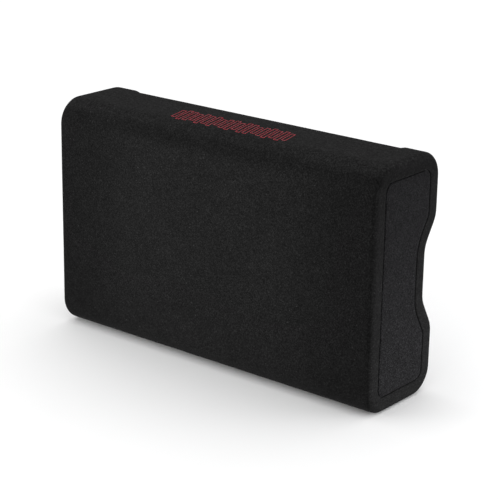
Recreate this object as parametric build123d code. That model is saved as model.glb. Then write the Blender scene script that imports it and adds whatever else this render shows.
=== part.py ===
from build123d import *

import math
import os

# A slim powered car subwoofer: a carpeted MDF box that holds a shallow 10 inch woofer and a
# plate amplifier. Millimetres. The origin is the centre of the base, +Z is up and +X runs
# along the width. The woofer and the amplifier face -Y, and the plain back faces +Y.

# Driving dimensions of the cabinet, over the carpet
WIDTH = 500.0
HEIGHT = 305.0
DEPTH = 132.0
CARPET = 2.3
BOARD = 18.0
CORNER_RADIUS = 33.0
END_EDGE_RADIUS = 7.5
CHEEK_WIDTH = 34.4  # the end cheeks stand proud of the front between them
CHEEK_STEP = 5.7

# The waist: a level channel across the front, with a ramp above and below it
WAIST_DEPTH = 21.1
WAIST_BLEND = 33.8
UPPER_LIP = 221.4
UPPER_FLOOR = 188.0
LOWER_FLOOR = 121.9
LOWER_LIP = 85.1

# End panels, let into the end frames
SEAM = 1.4
SEAM_INSET = 20.3
END_CARPET_EDGE = 0.9

# Stitched motif on the top
EMBLEM_HEIGHTS = (31, 39, 33, 41, 36, 29, 40, 41, 32, 41, 37, 28, 41, 35, 41, 31, 38, 41, 33)
EMBLEM_PITCH = 9.6
EMBLEM_BAR = 6.6
EMBLEM_LINE = 1.0
EMBLEM_SLANT = -14.0
EMBLEM_CENTRE = (-1.5, 18.5)
EMBLEM_THREAD = 0.5

# Woofer
WELL_MARGIN = 10.8  # carpeted web beside and between the two wells
WELL_RADIUS = 128.7
FLANGE_RADIUS = 126.0
FLANGE_BACK = 1.2
FLANGE_FACE = 4.2
BAFFLE_HOLE_RADIUS = 114.5
WOOFER_SCREWS = 8
SCREW_CIRCLE_RADIUS = 121.0
CONE_TRAVEL = 6.0
CONE_RADIUS = 97.0
CONE_NECK = -12.0
POLE_RADIUS = 24.3
COIL_RADIUS = 24.9
GUARD_WIRE_RADIUS = 1.5
GUARD_RINGS = (20.0, 42.0, 64.0, 86.0, 106.0)
GUARD_RIM_RADIUS = 115.0
GUARD_BARS = 8

# Amplifier
AMP_WELL = (141.4, 211.4)
AMP_PLATE = (138.0, 208.0)
AMP_PLATE_THICKNESS = 3.0
AMP_CUTOUT = (116.0, 186.0)
KNOB_ROW = 73.5
KNOB_PITCH = 42.0
SWITCH_ROW = 38.0
JACK_ROW = -46.0
POWER_ROW = -80.0
SHAFT_RADIUS = 2.5
RUNNING_CLEARANCE = 0.05
SWITCH_TRAVEL = 4.0

# Derived planes and places
BACK = DEPTH / 2
FRONT = -DEPTH / 2
CENTRE_FRONT = FRONT + CHEEK_STEP
WAIST_FLOOR = FRONT + WAIST_DEPTH
BAFFLE_FACE = WAIST_FLOOR + CARPET
BAFFLE_REAR = BAFFLE_FACE + BOARD
BOARD_BACK = BACK - CARPET
INNER_BACK = BOARD_BACK - BOARD
INNER_FLOOR = CARPET + BOARD
CEILING = HEIGHT - INNER_FLOOR
CHEEK_FACE = WIDTH / 2 - CHEEK_WIDTH
BOARD_END = WIDTH / 2 - CARPET
FRAME_FACE = CHEEK_FACE + CARPET
END_INNER = BOARD_END - BOARD
TOP_FRONT = CENTRE_FRONT + CORNER_RADIUS
TOP_BACK = BACK - CORNER_RADIUS
MIDDLE = HEIGHT / 2
WOOFER_X = -CHEEK_FACE + WELL_MARGIN + WELL_RADIUS
AMP_X = CHEEK_FACE - WELL_MARGIN - AMP_WELL[0] / 2
BRACE = (50.0, 62.0)
UPPER_RAMP = math.atan2(WAIST_DEPTH, UPPER_LIP - UPPER_FLOOR)
LOWER_RAMP = math.atan2(WAIST_DEPTH, LOWER_FLOOR - LOWER_LIP)

woofer_plane = Plane(origin=(WOOFER_X, BAFFLE_FACE, MIDDLE), x_dir=(1, 0, 0), z_dir=(0, -1, 0))
amp_plane = Plane(origin=(AMP_X, BAFFLE_FACE, MIDDLE), x_dir=(1, 0, 0), z_dir=(0, -1, 0))


# Shapes used by many sub-parts. Below, `low` and `high` are heights in front of the baffle.
def block(x, y, z):
    """A box from its (low, high) pairs along X, Y and Z."""
    size = [high - low for low, high in (x, y, z)]
    centre = [(low + high) / 2 for low, high in (x, y, z)]
    return Pos(*centre) * Box(*size)


def disc(radius, low, high):
    return Pos(0, 0, (low + high) / 2) * Cylinder(radius, high - low)


def tube(inner, outer, low, high):
    return disc(outer, low, high) - disc(inner, low - 1, high + 1)


def plate(width, height, low, high, radius):
    face = Pos(0, 0, low) * RectangleRounded(width, height, radius)
    return extrude(face, amount=high - low, dir=(0, 0, 1))


def turned(points):
    """A solid of revolution about local Z, from (radius, height) points."""
    return revolve(make_face(Plane.XZ * Polyline(*points, close=True)), Axis.Z)


def wire(points, radii, radius):
    """A round wire along straight runs joined by tangent arcs."""
    path = FilletPolyline(*points, radius=radii)
    section = Plane(origin=path @ 0, z_dir=path % 0) * Circle(radius)
    return sweep(section, path=path)


def around(count, radius, start=0.0):
    """Places spaced evenly round local Z, each with its local X pointing outwards."""
    turns = [start + 360.0 * i / count for i in range(count)]
    return [Rot(0, 0, turn) * Pos(radius, 0, 0) for turn in turns]


def group(solids):
    """Separate solids that share one node."""
    return Compound(children=[s for solid in solids for s in solid.solids()])


def screw(seat, head_radius, head_height, shank_radius, length):
    """A pan-head screw whose head sits on height `seat`, with a cross recess."""
    head = disc(head_radius, seat, seat + head_height)
    head = fillet(head.faces().sort_by(Axis.Z)[-1].edges(), head_height * 0.45)
    slot = (head_radius * 1.1, head_radius * 0.3, head_height)
    for turn in (0, 90):
        head -= Pos(0, 0, seat + head_height) * Rot(0, 0, turn) * Box(*slot)
    return head + disc(shank_radius, seat - length, seat)


# Cabinet
def outline(front, inset):
    """The end view of the box as a face: `inset` inside the carpet, with lips at Y = `front`."""
    lip_depth = WAIST_FLOOR - front
    upper_shift = inset * math.tan(UPPER_RAMP / 2)
    lower_shift = inset * math.tan(LOWER_RAMP / 2)
    lip = front + inset
    floor = WAIST_FLOOR + inset
    points = [
        (BACK - inset, inset),
        (BACK - inset, HEIGHT - inset),
        (lip, HEIGHT - inset),
        (lip, UPPER_FLOOR + lip_depth / math.tan(UPPER_RAMP) + upper_shift),
        (floor, UPPER_FLOOR + upper_shift),
        (floor, LOWER_FLOOR - lower_shift),
        (lip, LOWER_FLOOR - lip_depth / math.tan(LOWER_RAMP) - lower_shift),
        (lip, inset),
    ]
    corner = CORNER_RADIUS - inset
    lip_blend = WAIST_BLEND - inset
    floor_blend = WAIST_BLEND + inset
    radii = [corner, corner, corner, lip_blend, floor_blend, floor_blend, lip_blend, corner]
    return make_face(FilletPolyline(*points, radius=radii, close=True))


def slab(face, low, high):
    """An end-view face made solid from X = `low` to X = `high`."""
    return extrude(Plane.YZ.offset(low) * face, amount=high - low, dir=(1, 0, 0))


def cheek(inset):
    """The right cheek as a full solid, with its end edge rounded."""
    solid = slab(outline(FRONT, inset), CHEEK_FACE + inset, WIDTH / 2 - inset)
    end = solid.faces().sort_by(Axis.X)[-1]
    return fillet(end.edges(), END_EDGE_RADIUS - inset)


def whole_box(inset):
    """The box as one full solid, `inset` inside the carpet, with both wells cut to the baffle."""
    right = cheek(inset)
    centre = slab(outline(CENTRE_FRONT, inset), -CHEEK_FACE - inset, CHEEK_FACE + inset)
    solid = centre + right + mirror(right, about=Plane.YZ)
    solid -= woofer_plane * disc(WELL_RADIUS + inset, 0, BOARD + CARPET + 1)
    size = [length + 2 * inset for length in AMP_WELL]
    return solid - amp_plane * plate(*size, 0, BOARD + CARPET + 1, 6 + inset)


def front_rail(box, region_sign):
    """The moulded lip above (+1) or below (-1) the waist, glued to the baffle's face."""
    blend = WAIST_BLEND + CARPET
    thin_edge = math.sqrt(2 * blend * 0.8)
    if region_sign > 0:
        ramp, floor = UPPER_RAMP, UPPER_FLOOR
    else:
        ramp, floor = LOWER_RAMP, LOWER_FLOOR
    tangent = floor + region_sign * (CARPET - blend) * math.tan(ramp / 2)
    start = tangent + region_sign * thin_edge
    middle_edge = CEILING if region_sign > 0 else INNER_FLOOR
    outer_edge = HEIGHT if region_sign > 0 else 0.0
    span = (-FRAME_FACE, FRAME_FACE)
    lip = block(span, (FRONT, BAFFLE_FACE), sorted((start, middle_edge)))
    corner = block(span, (FRONT, TOP_FRONT), sorted((middle_edge, outer_edge)))
    return box & (lip + corner)


def rear_corner(centre_z, turn):
    """A quarter-round corner moulding along the back, bored to the board's thickness."""
    outer = CORNER_RADIUS - CARPET
    quarter = make_face(
        [
            Line((outer - BOARD, 0), (outer, 0)),
            CenterArc((0, 0), outer, 0, 90),
            Line((0, outer), (0, outer - BOARD)),
            CenterArc((0, 0), outer - BOARD, 0, 90),
        ]
    )
    placed = Plane(origin=(-FRAME_FACE, TOP_BACK, centre_z), x_dir=(0, 1, 0), z_dir=(1, 0, 0))
    return extrude(placed * Rot(0, 0, turn) * quarter, amount=2 * FRAME_FACE, dir=(1, 0, 0))


def front_baffle():
    board = block((-FRAME_FACE, FRAME_FACE), (BAFFLE_FACE, BAFFLE_REAR), (INNER_FLOOR, CEILING))
    board -= woofer_plane * disc(BAFFLE_HOLE_RADIUS, -BOARD - 1, 1)
    board -= amp_plane * plate(*AMP_CUTOUT, -BOARD - 1, 1, 6)
    pilot = disc(2.4, -14, 1)
    for place in around(WOOFER_SCREWS, SCREW_CIRCLE_RADIUS, 22.5):
        board -= woofer_plane * place * pilot
    pilot = disc(2.0, -14, 1)
    for x, z in plate_screw_places():
        board -= amp_plane * Pos(x, z, 0) * pilot
    return board


def centre_brace():
    """An upright between the baffle and the back, with a window for air and the leads."""
    board = block(BRACE, (BAFFLE_REAR, INNER_BACK), (INNER_FLOOR, CEILING))
    board = fillet(board.edges().filter_by(Axis.X).group_by(Axis.Y)[-1], CORNER_RADIUS - INNER_FLOOR + 0.8)
    window = Plane.YZ.offset(BRACE[0] - 1) * Pos(10, MIDDLE) * RectangleRounded(54, 130, 12)
    return board - extrude(window, amount=BRACE[1] - BRACE[0] + 2, dir=(1, 0, 0))


def cabinet():
    box = whole_box(CARPET)
    span = (-FRAME_FACE, FRAME_FACE)
    inner_face = outline(FRONT, SEAM_INSET)
    frame = cheek(CARPET) - slab(inner_face, CHEEK_FACE, WIDTH / 2)
    panel = slab(inner_face, END_INNER, BOARD_END)
    flat = (TOP_FRONT, TOP_BACK)
    return {
        "back_panel": block(span, (INNER_BACK, BOARD_BACK), (CORNER_RADIUS, HEIGHT - CORNER_RADIUS)),
        "top_panel": block(span, flat, (CEILING, HEIGHT - CARPET)),
        "bottom_panel": block(span, flat, (CARPET, INNER_FLOOR)),
        "rear_upper_corner": rear_corner(HEIGHT - CORNER_RADIUS, 0),
        "rear_lower_corner": rear_corner(CORNER_RADIUS, -90),
        "front_baffle": front_baffle(),
        "upper_front_rail": front_rail(box, 1),
        "lower_front_rail": front_rail(box, -1),
        "centre_brace": centre_brace(),
        "right_end_frame": frame,
        "left_end_frame": mirror(frame, about=Plane.YZ),
        "right_end_panel": panel,
        "left_end_panel": mirror(panel, about=Plane.YZ),
    }


# Covering
def base_strip():
    """The strip of carpet that the box stands on."""
    half = WIDTH / 2 - END_EDGE_RADIUS
    return block((-half, half), (TOP_FRONT, TOP_BACK), (0, CARPET))


def carpet_wrap():
    skin = whole_box(0) - whole_box(CARPET) - base_strip()
    opening = slab(outline(FRONT, SEAM_INSET - SEAM / 2), BOARD_END, WIDTH / 2 + 1)
    skin -= opening
    return skin - mirror(opening, about=Plane.YZ)


def end_carpet():
    piece = slab(outline(FRONT, SEAM_INSET + SEAM / 2), BOARD_END, WIDTH / 2)
    return fillet(piece.faces().sort_by(Axis.X)[-1].edges(), END_CARPET_EDGE)


def emblem():
    """A plain sound-wave motif: slanted bars in outline, stitched on the top and its rear fold."""
    slant = math.tan(math.radians(EMBLEM_SLANT))
    middle_bar = (len(EMBLEM_HEIGHTS) - 1) / 2
    reach = WIDTH / 4
    thread = slab(outline(CENTRE_FRONT, -EMBLEM_THREAD), -reach, reach)
    thread -= slab(outline(CENTRE_FRONT, 0), -reach, reach)
    bars = []
    for i, height in enumerate(EMBLEM_HEIGHTS):
        x = (i - middle_bar) * EMBLEM_PITCH
        half_x, half_y = EMBLEM_BAR / 2, height / 2
        corners = [(-half_x, -half_y), (half_x, -half_y), (half_x, half_y), (-half_x, half_y)]
        face = make_face(Polyline(*[(x + cx + slant * cy, cy) for cx, cy in corners], close=True))
        ring = face - offset(face, amount=-EMBLEM_LINE, kind=Kind.INTERSECTION)
        column = extrude(Pos(*EMBLEM_CENTRE, HEIGHT - 2) * ring, amount=3, dir=(0, 0, 1))
        bars.append(column & thread)
    return group(bars)


def covering():
    right = end_carpet()
    return {
        "carpet_wrap": carpet_wrap(),
        "carpet_base_strip": base_strip(),
        "right_end_carpet": right,
        "left_end_carpet": mirror(right, about=Plane.YZ),
        "top_emblem": emblem(),
    }


# Woofer: heights are in front of the baffle, so what is behind it is negative
BASKET_FLOOR = -38.0
SPIDER_LEDGE = -22.0
TOP_PLATE_BACK = -46.0
MAGNET_BACK = -62.0
MOTOR_BACK = -70.0
SPOKE_WIDTH = 22.0
TRIM_INNER = 112.3
TRIM_OUTER = 116.3
TERMINAL_RADIUS = 97.0
TERMINAL_LEVEL = -24.0
TERMINAL_SPACING = 26.0
GUARD_RING_HEIGHT = 17.9
GUARD_BAR_HEIGHT = 20.4
GUARD_RIM_HEIGHT = 8.7


def basket():
    frame = turned(
        [
            (FLANGE_RADIUS, FLANGE_BACK),
            (FLANGE_RADIUS, FLANGE_FACE),
            (111.0, FLANGE_FACE),
            (108.5, -7.0),
            (74.0, SPIDER_LEDGE),
            (60.0, SPIDER_LEDGE),
            (58.0, BASKET_FLOOR + 2),
            (28.0, BASKET_FLOOR + 2),
            (28.0, BASKET_FLOOR),
            (60.5, BASKET_FLOOR),
            (62.3, SPIDER_LEDGE - 2),
            (73.5, SPIDER_LEDGE - 2),
            (110.5, -9.0),
            (113.0, FLANGE_BACK),
        ]
    )
    windows = tube(80, 102, SPIDER_LEDGE - 8, 0)
    for place in around(6, 91):
        windows -= place * Box(40, SPOKE_WIDTH, 80)
    hole = disc(2.6, 0, FLANGE_FACE + 1)
    holes = [place * hole for place in around(WOOFER_SCREWS, SCREW_CIRCLE_RADIUS, 22.5)]
    return frame - windows - holes


def mounting_gasket():
    ring = tube(115.5, FLANGE_RADIUS, 0, FLANGE_BACK)
    hole = disc(2.6, -1, 3)
    return ring - [place * hole for place in around(WOOFER_SCREWS, SCREW_CIRCLE_RADIUS, 22.5)]


def surround():
    roll = Pos(0, 0, FLANGE_FACE + 0.5) * (Torus(104.5, 7.5) - Torus(104.5, 6.5))
    roll &= tube(90, 120, FLANGE_FACE, FLANGE_FACE + 20)
    inner = tube(93.5, 97.6, FLANGE_FACE, FLANGE_FACE + 1)
    outer = tube(111.4, TRIM_OUTER, FLANGE_FACE, FLANGE_FACE + 1)
    return roll + inner + outer


def trim_ring():
    """The moulded ring that holds the surround's edge down, inside the screws."""
    ring = tube(TRIM_INNER, TRIM_OUTER, FLANGE_FACE + 1, FLANGE_FACE + 3)
    return fillet(ring.faces().sort_by(Axis.Z)[-1].edges(), 0.7)


def cone():
    return turned(
        [
            (COIL_RADIUS + 0.4, CONE_NECK),
            (92.5, FLANGE_FACE),
            (CONE_RADIUS, FLANGE_FACE),
            (CONE_RADIUS, FLANGE_FACE - 1.2),
            (92.8, FLANGE_FACE - 1.2),
            (COIL_RADIUS + 0.4, CONE_NECK - 1.3),
        ]
    )


def dust_cap():
    base, apex, radius, skin = -8.5, 1.8, 38.0, 1.0
    rise = apex - base
    ball = (radius**2 + rise**2) / (2 * rise)
    shell = Pos(0, 0, apex - ball) * (Sphere(ball) - Sphere(ball - skin))
    return (shell & disc(radius, base, apex + 1)) - cone()


def spider():
    """The corrugated suspension disc between the coil former and the basket's ledge."""
    waves, inner, outer, swing, skin = 5, 28.0, 59.0, 1.6, 0.8
    steps = 8 * waves
    top = []
    for i in range(steps + 1):
        r = inner + (outer - inner) * i / steps
        top.append((r, SPIDER_LEDGE + skin + swing * math.sin(2 * math.pi * waves * i / steps)))
    top = [(COIL_RADIUS + 0.4, SPIDER_LEDGE + skin)] + top + [(73.0, SPIDER_LEDGE + skin)]
    bottom = [(r, z - skin) for r, z in reversed(top)]
    return turned(top + bottom)


def yoke():
    return turned(
        [
            (8.0, BASKET_FLOOR + 1),
            (POLE_RADIUS, BASKET_FLOOR + 1),
            (POLE_RADIUS, MAGNET_BACK),
            (60.0, MAGNET_BACK),
            (60.0, MOTOR_BACK),
            (8.0, MOTOR_BACK),
        ]
    )


def magnet_boot():
    return turned(
        [
            (66.2, TOP_PLATE_BACK - 1),
            (68.2, TOP_PLATE_BACK - 1),
            (68.2, MOTOR_BACK - 2),
            (20.0, MOTOR_BACK - 2),
            (20.0, MOTOR_BACK),
            (66.2, MOTOR_BACK),
        ]
    )


def speaker_terminals():
    """A small board behind one spoke, with two push-on tabs."""
    board = Pos(TERMINAL_RADIUS, 0, TERMINAL_LEVEL + 1.5) * Box(2, 36, 18) - basket()
    tab = Pos(TERMINAL_RADIUS + 6, 0, TERMINAL_LEVEL) * Box(10, 6.3, 0.8)
    tabs = [Pos(0, side * TERMINAL_SPACING / 2, 0) * tab for side in (-1, 1)]
    return group([board] + tabs)


def tinsel_leads():
    """Two braided leads from the cone, through a basket window, to the terminal board."""
    leads = []
    for side in (-1, 1):
        y = side * TERMINAL_SPACING / 2
        points = [
            (57, y, -5.9),
            (58, y, -13),
            (68, y, -16.5),
            (82, y, -16.5),
            (89, y, TERMINAL_LEVEL),
            (TERMINAL_RADIUS - 1, y, TERMINAL_LEVEL),
        ]
        leads.append(wire(points, [5, 20, 10, 7], 0.9))
    return group(leads)


def woofer_screws():
    plain = screw(FLANGE_FACE, 4.4, 3.0, 2.4, 17)
    raised = screw(FLANGE_FACE + 1.5, 4.4, 3.0, 2.4, 18.5)
    places = around(WOOFER_SCREWS, SCREW_CIRCLE_RADIUS, 22.5)
    return group([place * (raised if i % 2 else plain) for i, place in enumerate(places)])


def guard():
    """The wire guard: rings welded behind radial bars that turn down to a rim."""
    bar = wire(
        [
            (GUARD_RINGS[0], 0, GUARD_BAR_HEIGHT),
            (GUARD_RIM_RADIUS, 0, GUARD_BAR_HEIGHT),
            (GUARD_RIM_RADIUS, 0, GUARD_RIM_HEIGHT),
        ],
        [6],
        GUARD_WIRE_RADIUS,
    )
    frame = Pos(0, 0, GUARD_RIM_HEIGHT) * Torus(GUARD_RIM_RADIUS, GUARD_WIRE_RADIUS)
    for radius in GUARD_RINGS:
        frame += Pos(0, 0, GUARD_RING_HEIGHT) * Torus(radius, GUARD_WIRE_RADIUS)
    return frame + [place * bar for place in around(GUARD_BARS, 0)]


def guard_clamps():
    """Four pressed tabs that hook over the guard's rim under every second screw."""
    profile = [
        (125.0, FLANGE_FACE),
        (125.0, FLANGE_FACE + 1.5),
        (118.8, FLANGE_FACE + 1.5),
        (118.8, 11.9),
        (112.8, 11.9),
        (112.8, 10.3),
        (117.3, 10.3),
        (117.3, FLANGE_FACE),
    ]
    tab = extrude(make_face(Plane.XZ * Polyline(*profile, close=True)), amount=5.5, both=True)
    tab -= Pos(SCREW_CIRCLE_RADIUS, 0, FLANGE_FACE) * Cylinder(2.6, 6)
    clear = Pos(SCREW_CIRCLE_RADIUS, 0, 9) * Cylinder(4.6, 6.6)
    places = around(4, 0, 22.5 + 45)
    return group([place * (tab - clear) for place in places])


def woofer():
    parts = {
        "woofer_basket": basket(),
        "mounting_gasket": mounting_gasket(),
        "surround": surround(),
        "surround_trim_ring": trim_ring(),
        "cone": cone(),
        "dust_cap": dust_cap(),
        "voice_coil_former": tube(COIL_RADIUS, COIL_RADIUS + 0.4, -53, -9.5),
        "voice_coil_winding": tube(COIL_RADIUS + 0.4, COIL_RADIUS + 1.8, -52, -32),
        "spider": spider(),
        "top_plate": tube(27.4, 60, TOP_PLATE_BACK, BASKET_FLOOR),
        "ring_magnet": tube(34, 66, MAGNET_BACK, TOP_PLATE_BACK),
        "pole_yoke": yoke(),
        "magnet_boot": magnet_boot(),
        "speaker_terminals": speaker_terminals(),
        "tinsel_leads": tinsel_leads(),
        "woofer_screws": woofer_screws(),
        "wire_guard": guard(),
        "guard_clamps": guard_clamps(),
    }
    return {name: woofer_plane * part for name, part in parts.items()}


# Amplifier
KNOB_PLACES = {"gain": -KNOB_PITCH, "crossover": 0.0, "bass_boost": KNOB_PITCH}
SWITCH_PLACES = {"phase": -KNOB_PITCH, "auto_on": 0.0}
PHONO_PLACES = (-46.0, -24.0)
TERMINAL_PITCH = 19.0
STRIP_X = -22.0
FUSE_X = 40.0
LIGHT_ROW = 86.5
SPEAKER_SOCKET_X = 22.0
BOARD_FRONT = -12.0


def plate_screw_places():
    x = AMP_PLATE[0] / 2 - 6.5
    z = AMP_PLATE[1] / 2 - 6.5
    return [(sx * x, sz * z) for sx in (-1, 1) for sz in (-1, 0, 1)]


def board_post_places():
    return [(x, z) for x in (-46, 46) for z in (-62.0, 83.5)]


def amp_plate():
    """The cast face plate: fins in front carry heat into the waist, and posts behind hold the board."""
    body = plate(*AMP_PLATE, 0, AMP_PLATE_THICKNESS, 5)
    body = chamfer(body.faces().sort_by(Axis.Z)[-1].edges(), 0.8)
    for i in range(13):
        fin = Pos((i - 6) * 8, -3, AMP_PLATE_THICKNESS + 5) * Box(2.4, 46, 12)
        body += fillet(fin.edges().filter_by(Axis.Y).group_by(Axis.Z)[-1], 0.9)
    for x in KNOB_PLACES.values():
        body -= Pos(x, KNOB_ROW) * disc(3.6, -1, 9)
    for x in SWITCH_PLACES.values():
        body -= Pos(x + SWITCH_TRAVEL / 2, SWITCH_ROW) * plate(9.4, 5, -1, 9, 0.6)
    body -= Pos(KNOB_PITCH, SWITCH_ROW) * plate(14, 12, -1, 9, 0.8)
    body -= Pos(0, LIGHT_ROW) * disc(2.5, -1, 9)
    for x in PHONO_PLACES:
        body -= Pos(x, JACK_ROW) * disc(5.6, -1, 9)
    body -= Pos(SPEAKER_SOCKET_X, JACK_ROW) * plate(27, 13, -1, 9, 0.8)
    body -= Pos(STRIP_X, POWER_ROW) * plate(62, 18, -1, 9, 0.8)
    body -= Pos(FUSE_X, POWER_ROW) * plate(26, 12, -1, 9, 0.8)
    for x, z in plate_screw_places():
        body -= Pos(x, z) * disc(2.2, -1, 9)
    for x, z in board_post_places():
        body += Pos(x, z) * tube(1.2, 2.8, BOARD_FRONT, 0)
    return body


def plate_screws():
    one = screw(AMP_PLATE_THICKNESS, 3.8, 2.4, 2.0, 16)
    return group([Pos(x, z) * one for x, z in plate_screw_places()])


def knob_and_shaft():
    """A ribbed knob with a pointer groove, on its shaft."""
    low, high, radius = 6.2, 17.0, 7.5
    cap = disc(radius, low, high)
    cap = fillet(cap.faces().sort_by(Axis.Z)[-1].edges(), 1.2)
    for place in around(20, radius + 0.35):
        cap -= place * Pos(0, 0, (low + high) / 2 + 1) * Cylinder(0.75, high - low)
    cap -= Pos(0, 4.6, high) * Box(1.2, 5.6, 1.2)
    cap -= disc(SHAFT_RADIUS, low - 1, high - 2)
    return group([cap, disc(SHAFT_RADIUS, -6, high - 2)])


def potentiometer():
    """A pot behind the plate, its bush and nut in front: the shaft runs in the bush."""
    body = Pos(0, -1, -4.5) * Box(16, 15, 9)
    bush = disc(3.5, 0, 5.6)
    nut = extrude(Pos(0, 0, AMP_PLATE_THICKNESS) * RegularPolygon(5.6, 6), amount=2, dir=(0, 0, 1))
    return body + bush + nut - disc(SHAFT_RADIUS + RUNNING_CLEARANCE, -6.2, 9)


def switch_body():
    body = plate(17, 8, -6.5, 0, 0.5)
    return body - plate(9.4, 5, -4, 1, 0.5)


def switch_slider():
    lever = Pos(0, 0, 0.9) * Box(4.4, 4.2, 7.6)
    lever = fillet(lever.faces().sort_by(Axis.Z)[-1].edges(), 0.5)
    for x in (-1.2, 0, 1.2):
        lever -= Pos(x, 0, 4.7) * Box(0.5, 5, 0.7)
    return Pos(-SWITCH_TRAVEL / 2, 0, 0) * lever


def phono_jack():
    """One phono socket: a plated shell over a plastic body with a collar and a core."""
    shell = tube(3.55, 4.15, 4.6, 13)
    collar = disc(6.6, 3, 4.6) + disc(5.4, -10, 3)
    core = disc(3.55, 4.6, 8) + disc(2.3, 8, 12.4)
    return [shell, collar + core - disc(1.7, 5, 14)]


def speaker_input_socket():
    shell = plate(27, 13, -10, 5.5, 0.8) - plate(23, 9, -4, 7, 0.6)
    pins = [Pos(x, 0, -3) * Box(1.2, 1.2, 5) for x in (-7.5, -2.5, 2.5, 7.5)]
    return shell + pins


def remote_socket():
    shell = plate(14, 12, -10, 4.2, 0.8)
    bay = Pos(0, 0.5) * plate(10, 7.4, -7, 5, 0.4)
    latch = Pos(0, -4.2) * plate(4.4, 3.2, -7, 5, 0.4)
    contacts = [Pos(x, 3.4, -4) * Box(0.5, 1.8, 6) for x in (-1.9, -0.65, 0.65, 1.9)]
    return shell - bay - latch + contacts


def power_strip():
    """A barrier strip for battery, remote turn-on and ground."""
    body = plate(62, 18, -8, 5, 0.8)
    for i in range(4):
        wall = Pos((i - 1.5) * TERMINAL_PITCH, 0, 7.5) * Box(2.4, 18, 8)
        body += wall
    for i in range(3):
        body -= Pos((i - 1) * TERMINAL_PITCH, 0) * disc(2.0, -6, 6)
    return body


def strip_screws():
    one = screw(6.2, 3.6, 2.4, 2.0, 12)
    clamp_plate = plate(13, 12, 5, 6.2, 1) - disc(2.0, 4, 7)
    places = [Pos((i - 1) * TERMINAL_PITCH, 0) for i in range(3)]
    return group([place * piece for place in places for piece in (one, clamp_plate)])


def fuse_holder():
    body = plate(26, 12, -10, 5, 0.8) - plate(20, 6, 0, 6, 0.4)
    for x in (-6.8, 6.8):
        body -= Pos(x, 0, -4) * Box(5.4, 1.0, 9)
    return body


def blade_fuse():
    head = plate(19.4, 5.2, 0.2, 12.5, 0.8)
    head -= Pos(0, 0, 13) * Box(8, 6, 5)
    blades = [Pos(x, 0, -3.7) * Box(5.2, 0.8, 7.8) for x in (-6.8, 6.8)]
    return group([head] + blades)


def status_light():
    lens = Pos(0, 0, 3.2) * Sphere(2.4) & disc(2.4, 3.2, 6)
    return lens + disc(2.4, -4, 3.2)


def circuit_board():
    board = plate(104, 176, BOARD_FRONT - 1.6, BOARD_FRONT, 2)
    for x, z in board_post_places():
        board -= Pos(x, z) * disc(1.2, -16, -10)
    return board


def capacitors():
    back = BOARD_FRONT - 1.6
    can = disc(8, back - 23, back)
    can = fillet(can.faces().sort_by(Axis.Z)[0].edges(), 1)
    can -= tube(6.9, 9, back - 4, back - 3)
    return group([Pos(x, -62) * can for x in (-32, -12, 8)])


def choke():
    """A toroidal choke: its core, with the winding as separate turns."""
    back = BOARD_FRONT - 1.6
    core = tube(7.5, 14, back - 13, back - 1.6)
    turn = Rot(90, 0, 0) * (plate(9.5, 14.6, -0.8, 0.8, 1.2) - plate(6.6, 11.5, -2, 2, 0.3))
    turns = [place * Pos(0, 0, back - 7.3) * turn for place in around(16, 10.75)]
    return group([Pos(20, 40) * piece for piece in [core] + turns])


def power_transistors():
    """Four power devices clamped behind the fins, with their legs in the board."""
    package = plate(10.4, 15, -4.6, 0, 0.4)
    package -= Pos(0, 5) * disc(1.6, -6, 1)
    for x in (-2.54, 0, 2.54):
        package += Pos(x, -9, -2.3) * Box(0.9, 4, 0.6)
        package += Pos(x, -10.7, (BOARD_FRONT - 2) / 2) * Box(0.9, 0.6, -BOARD_FRONT - 2)
    return group([Pos(x, 4) * package for x in (-36, -12, 12, 36)])


def rear_cover():
    """The steel tub that closes the amplifier off from the air in the box."""
    tub = plate(112, 182, -42, 0, 5) - plate(109.6, 179.6, -40.8, 1, 4)
    return tub - Pos(-56, 0, -32.6) * Rot(0, 90, 0) * plate(8.4, 18.4, -3, 3, 4)


def lead_grommet():
    ring = plate(8.4, 18.4, -1.6, 1.6, 4.1) + plate(12, 22, -2.6, -0.6, 5.5) + plate(12, 22, 0.6, 2.6, 5.5)
    for side in (-1, 1):
        ring -= Pos(0, side * 4, 0) * Cylinder(1.6, 8)
    return Pos(-55.4, 0, -32.6) * Rot(0, 90, 0) * ring


def speaker_leads():
    """Two insulated leads from the amplifier's grommet, through the brace, to the woofer's tabs."""
    start = WOOFER_X + TERMINAL_RADIUS + 11 - AMP_X
    leads = []
    for side in (-1, 1):
        points = [
            (start, side * TERMINAL_SPACING / 2, TERMINAL_LEVEL),
            (start + 11, side * TERMINAL_SPACING / 2, TERMINAL_LEVEL - 0.5),
            (start + 22, side * 10, -32),
            (start + 34, side * 4, -34),
            (-62, side * 4, -32.6),
            (-52, side * 4, -32.6),
        ]
        leads.append(wire(points, [9, 9, 9, 9], 1.55))
    return group(leads)


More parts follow.
